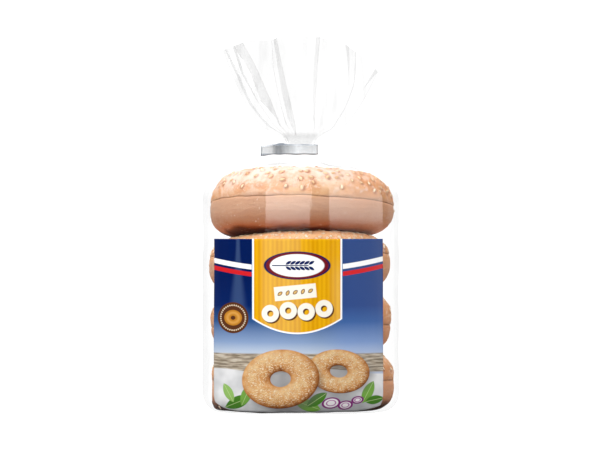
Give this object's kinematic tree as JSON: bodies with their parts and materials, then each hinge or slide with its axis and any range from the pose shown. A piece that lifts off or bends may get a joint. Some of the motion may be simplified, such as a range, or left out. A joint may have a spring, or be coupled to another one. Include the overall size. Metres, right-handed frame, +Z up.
{
  "type": "bag of bagels",
  "caption": "Clear film bag holding a stack of sliced sesame bagels, with a printed front panel and a bent strip that shuts its gathered neck.",
  "frame": {"origin": "centre of the flat underside", "axes": "+Z up along the stack to the tail of the bag, -Y towards the printed front, +X to the right seen from the front"},
  "size_m": [0.1052, 0.1058, 0.2005],
  "materials": {
    "filled_bag": "clear film over bread crust",
    "print": "printed film",
    "strip": "satin silver",
    "film": "clear film",
    "crust": "baked crust",
    "seed": "sesame seed"
  },
  "bodies": {
    "root": {"bag": "filled_bag", "print_panel": "print", "closure_strip": "strip"}
  },
  "joints": []
}
